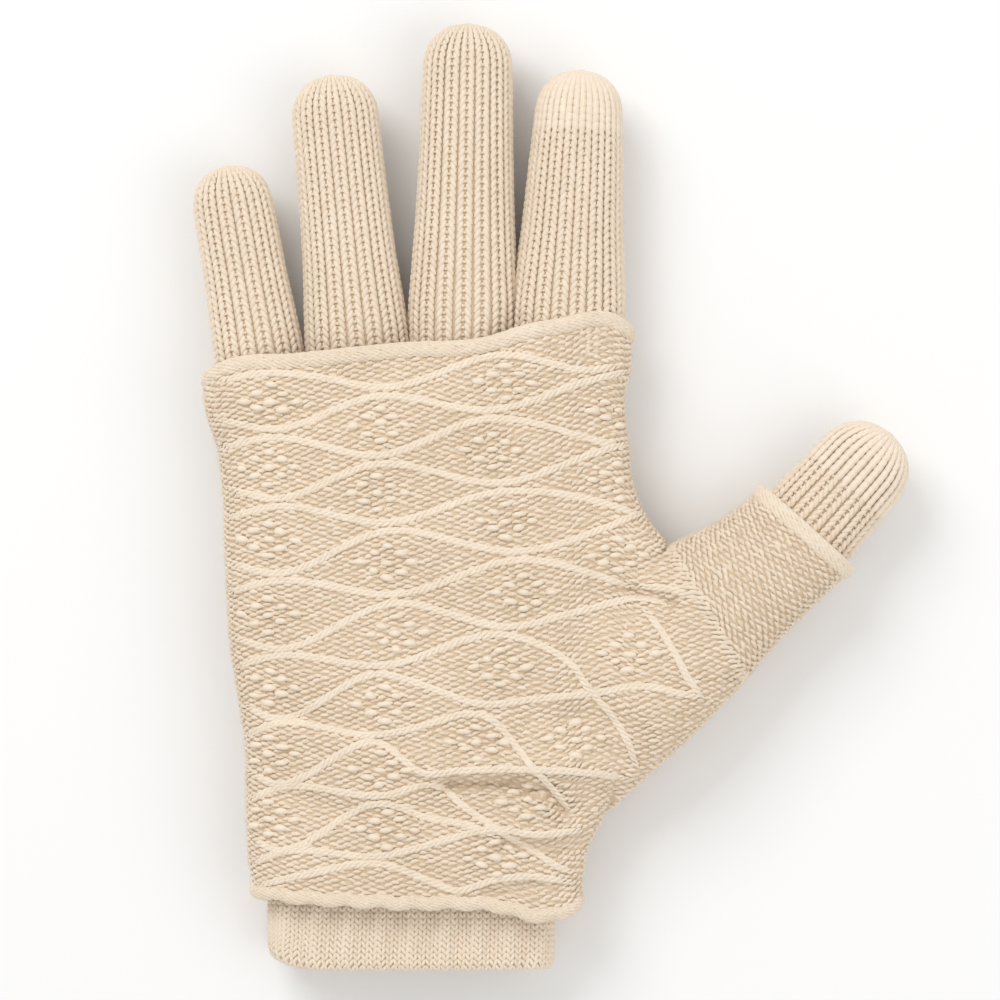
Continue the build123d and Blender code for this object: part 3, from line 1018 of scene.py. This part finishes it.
BOBBLE_ROWS = (1, 2, 3, 2, 1)        # bobbles in each row of a cluster
BOBBLE_SPACING, BOBBLE_ROW = 5.6, 1.75
CLUSTER = [((c - (n - 1) / 2) * BOBBLE_SPACING, r * BOBBLE_ROW)
           for r, n in zip(range(-2, 3), BOBBLE_ROWS) for c in range(n)]
CLUSTER_MIDDLES = [(x, (a + b) / 2) for column in (OUTER, SECOND, THIRD)
                   for (x, a), (_, b) in zip(column, column[1:])]
CLUSTER_MIDDLES += [(-60.0, 20.2), (14.4, 18.4), (16.4, -33.6), (4.9, -51.7), (-5.1, -64.9), (-10.9, -36.6),
                    (-15.9, -52.4), (-12.0, -77.0), (14.4, 3.2), (14.0, -12.6)]

for side, front in (("front", True), ("back", False)):
    ropes, bobbles = Stitches(), Stitches()
    for points in lattice_cords():
        plan = inside(eased_path(points))
        if len(plan) > 6:
            places, outward = lift_path(plan, front, 0.2)
            rope_stitches(ropes, places, outward)
    for middle in CLUSTER_MIDDLES:
        spots = np.array(CLUSTER) + middle
        spots = inside(spots + rng.normal(0, 0.18, spots.shape), margin=1.4)
        places, outward = lift_path(spots, front, 0.5)
        across = across_from(np.array([1.0 if front else -1.0, 0, 0]), outward)
        bobbles.add(places, across, np.cross(outward, across), outward, rng.normal(0, 0.12, len(spots)),
                    rng.normal(0.9, 0.08, (len(spots), 3)), rng.normal(0.08, 0.06, len(spots)))
    on_palm(knit(f"mitt_{side}_lattice", ropes, ROPE, PAINTED_HIGHLIGHT_YARN, seed=6), "mitt_shell")
    on_palm(knit(f"mitt_{side}_bobbles", bobbles, BOBBLE, PAINTED_HIGHLIGHT_YARN, seed=7), "mitt_shell")


# ---------------------------------------------------------------- the seam round the thumb sleeve

SEAM = loops(length=2.3, radius=0.5, bow=0.2, sideways=0.3, tip=0.4, spread=0.1, segments=3, sides=5)
seam_stitches = Stitches()
for skin in (SLEEVE_FRONT, SLEEVE_BACK):
    _, _, _, outward = skin.at(np.full(skin.samples, 0.6), np.linspace(0, 1, skin.samples))
    rope_stitches(seam_stitches, skin.grid[0] + outward * 0.05, outward, step=0.62, twist=0.9, reach=0.45)
on_palm(knit("mitt_sleeve_seam", seam_stitches, SEAM, MITT_YARN, seed=10), "mitt_shell")

# ---------------------------------------------------------------- rolled edges

ROLL = loops(length=2.1, radius=0.40, bow=0.16, tip=0.45, spread=0.08, segments=3, sides=5)
ROLL_STEP, ROLL_AROUND = 0.8, 9      # spacing of the loops along a roll, and how many lie round it


def rolled_edge(name, loop, ahead, radius, material):
    """A soft roll of fabric round a closed loop of places; `ahead` points out of the opening."""
    loop = np.concatenate([loop, loop[:1]])
    centre = sample(loop, every(loop, ROLL_STEP))
    centre = np.concatenate([centre, centre[:1]])
    forward = unit(np.gradient(np.concatenate([centre[-2:-1], centre, centre[1:2]]), axis=0)[1:-1])
    up = across_from(np.array(ahead, float), forward)
    angle = np.linspace(0, 2 * math.pi, 33)
    rows = [c + radius * (0.6 * np.outer(np.cos(angle), o) + 1.15 * np.outer(np.sin(angle), u))
            for c, o, u in zip(centre, np.cross(forward, up), up)]
    skin = Skin(rows, 33, closed=True)
    place, _, _, outward = skin.at([3], [0])
    if np.dot(outward[0], place[0] - centre[3]) < 0:
        skin = Skin([row[::-1] for row in rows], 33, closed=True)
    stitches = Stitches()
    for j in range(skin.rows - 1):
        share = (np.arange(ROLL_AROUND) + 0.5 * (j % 2)) / ROLL_AROUND
        places, across, along, normal = skin.at(j + 0.3 + rng.normal(0, 0.1, ROLL_AROUND), share)
        stitches.add(places, across, along, normal, 1.42 + rng.normal(0, 0.12, ROLL_AROUND),
                     rng.normal(1, 0.05, (ROLL_AROUND, 3)), rng.normal(0, 0.07, ROLL_AROUND))
    return (knit(f"{name}_stitches", stitches, ROLL, material, seed=8),
            wall_piece(f"{name}_core", [skin.shifted(-0.18)], MITT_GROUND_SHADE))


def edge_loop(front, back, row):
    """The closed loop of places where one row of a front and of a back skin meet."""
    return np.concatenate([front.grid[row, :-1], back.grid[row, :-1]])


top_loop = edge_loop(FRONT, BACK, -1)
# The roll lies a little lower where the tip of the little finger comes down on it
top_loop[:, 2] -= 0.45 * smooth(-top_loop[:, 0], 46, 58) * smooth(top_loop[:, 2], MID_Z, MID_Z + 4)
for piece in rolled_edge("mitt_knuckle_roll", top_loop, (0, 1, 0), 1.25, MITT_YARN):
    on_palm(piece, "mitt_knuckle_welt")
hem_loop = edge_loop(FRONT, BACK, 0)
hem_loop[:, 1] += 0.3 * np.cos(2 * math.pi * hem_loop[:, 0] / 7.3)
for piece in rolled_edge("mitt_hem_roll", hem_loop, (0, -1, 0), 1.05, MITT_YARN):
    on_palm(piece, "mitt_wrist_hem")
thumb_loop = edge_loop(SLEEVE_FRONT, SLEEVE_BACK, -1)
for piece in rolled_edge("mitt_thumb_roll", thumb_loop, THUMB_AHEAD, 1.3, PAINTED_HIGHLIGHT_YARN):
    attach(piece, "thumb")
    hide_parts("mitt_thumb_welt")

# ---------------------------------------------------------------- the liner's thumb, cuff and palm

THUMB_LOW, THUMB_TOUCH, THUMB_END = 2.0, 27.4, 42.4   # where its liner shows, turns to touch yarn and ends
THUMB_WIDTHS = [(-2, 11.0), (13, 10.9), (23, 10.5), (33, 10.1), (43, 9.6)]
thumb = finger_tube("thumb_knuckle", THUMB_WIDTHS, 16, THUMB_LOW, THUMB_END, THUMB_DEPTH, 20.0)
thumb["smooth_from"] = THUMB_TOUCH
thumb_bend = (("thumb", "thumb_tip"), hinge_distance("thumb_tip_bend", THUMB_ORIGIN), 6.5)
finger_piece("thumb_liner", thumb, THUMB_LOW, THUMB_TOUCH, LINER_YARN, *thumb_bend, "liner_thumb_tube")
finger_piece("thumb_touch_tip", thumb, THUMB_TOUCH, THUMB_END + PAST_END, TOUCH_YARN, *thumb_bend,
             "liner_thumb_touch_tip")

CUFF_RIBS, CUFF_WALES = 20, 80
CUFF_LEG = loops(length=1.85, radius=0.47, bow=0.12, tip=0.42, spread=0.06, segments=3, sides=5)
CUFF_MIDDLE, CUFF_HALF_WIDTH, CUFF_HALF_DEPTH = (-30.1, 9.6), 30.6, 8.3


def cuff_rows():
    """From inside the cuff's rolled end, round it and up into the mitt."""
    profile = np.array([(-92, 2.6), (-99.5, 2.4), (-100.7, 2.0), (-101.3, 1.2), (-101.0, 0.4), (-99.6, 0.0),
                        (-90, 0.0), (-80, 0.5)], float)
    run = run_along(profile)
    at = np.arange(0, run[-1], ROW_STEP)
    ca, sa = superellipse(np.linspace(0, 2 * math.pi, 721), 3.4)
    rows = []
    for y, inset in zip(np.interp(at, run, profile[:, 0]), np.interp(at, run, profile[:, 1])):
        x, z = -ca * (CUFF_HALF_WIDTH - inset), sa * (CUFF_HALF_DEPTH - inset)
        round_it = run_along(np.stack([x, z], axis=1))
        rib = 1 + 0.075 * np.cos(2 * math.pi * CUFF_RIBS * round_it / round_it[-1])
        toward_corner = np.clip((-x - 19) / 11.6, 0, 1)
        corner = (1 - np.sqrt(1 - 0.95 * toward_corner**2)) * smooth(-y, 90, 100)
        rows.append(np.stack([x + CUFF_MIDDLE[0], y + 4.6 * corner, CUFF_MIDDLE[1] + z * rib], axis=1))
    return rows


cuff_skin = Skin(cuff_rows(), 481, closed=True)
cuff_stations = np.arange(cuff_skin.rows) * ROW_STEP
cuff_stitches = leg_stitches(cuff_skin, cuff_stations, CUFF_WALES, course=1.3, low=3.0, high=90, wale=1.77,
                             bars=False)
cuff_grid = cuff_skin.shifted(-0.2)[:, ::2]
# The cuff is knitted in the lighter lattice yarn: painted light against the shadow that the hem casts on it.
for piece in (knit("liner_cuff_knit", cuff_stitches, CUFF_LEG, PAINTED_HIGHLIGHT_YARN, seed=9),
              wall_piece("liner_cuff_wall", [cuff_grid], PAINTED_HIGHLIGHT_YARN, thickness=0.7)):
    on_palm(piece, "liner_wrist_cuff", slot="liner_yarn")

liner_grids = [skin.shifted(-2.3)[6:-6:2, ::2] for skin in (FRONT, BACK)]
palm_lining = wall_piece("liner_palm_knit", liner_grids, LINER_YARN, thickness=0.8)
on_palm(palm_lining, "liner_palm_tube", "liner_thumb_gusset", slot="liner_yarn")

# ---------------------------------------------------------------- stray fibres

FUZZ = loops(length=2.4, radius=0.032, bow=0.3, sideways=0.5, tip=0.25, spread=0.35, segments=3, sides=3)


def fuzz_on(skin, count, rise):
    """Fine loose fibres that stand a little off a fabric, at random places and headings."""
    out = Stitches()
    row, share = rng.uniform(1, skin.rows - 2, count), rng.uniform(0.01, 0.99, count)
    places, across, along, outward = skin.at(row, share)
    tilt = rng.normal(0.25, 0.2, count)[:, None]
    leaned = unit(outward * np.cos(tilt) + along * np.sin(tilt))
    across = across_from(across, leaned)
    heading = rng.uniform(0, 2 * math.pi, count)
    out.add(places + outward * rise, across, np.cross(leaned, across), leaned, heading,
            rng.uniform(0.6, 1.3, (count, 3)), rng.normal(0.1, 0.05, count))
    return out


for side, skin, count in (("front", FRONT, 2600), ("back", BACK, 1600)):
    on_palm(knit(f"mitt_{side}_fuzz", fuzz_on(skin, count, 0.55), FUZZ, PAINTED_HIGHLIGHT_YARN, seed=11), "mitt_shell")
for side, skin in (("front", SLEEVE_FRONT), ("back", SLEEVE_BACK)):
    on_sleeve(knit(f"mitt_sleeve_{side}_fuzz", fuzz_on(skin, 420, 0.5), FUZZ, PAINTED_HIGHLIGHT_YARN, seed=12))

# ---------------------------------------------------------------- floor and finish

def add_floor():
    mesh = bpy.data.meshes.new("floor")
    mesh.from_pydata([(-3, -3, 0), (3, -3, 0), (3, 3, 0), (-3, 3, 0)], [], [(0, 1, 2, 3)])
    floor = new_object("floor", mesh, floor_material())
    floor.location.z = -0.0003


add_camera()
add_studio()
add_floor()
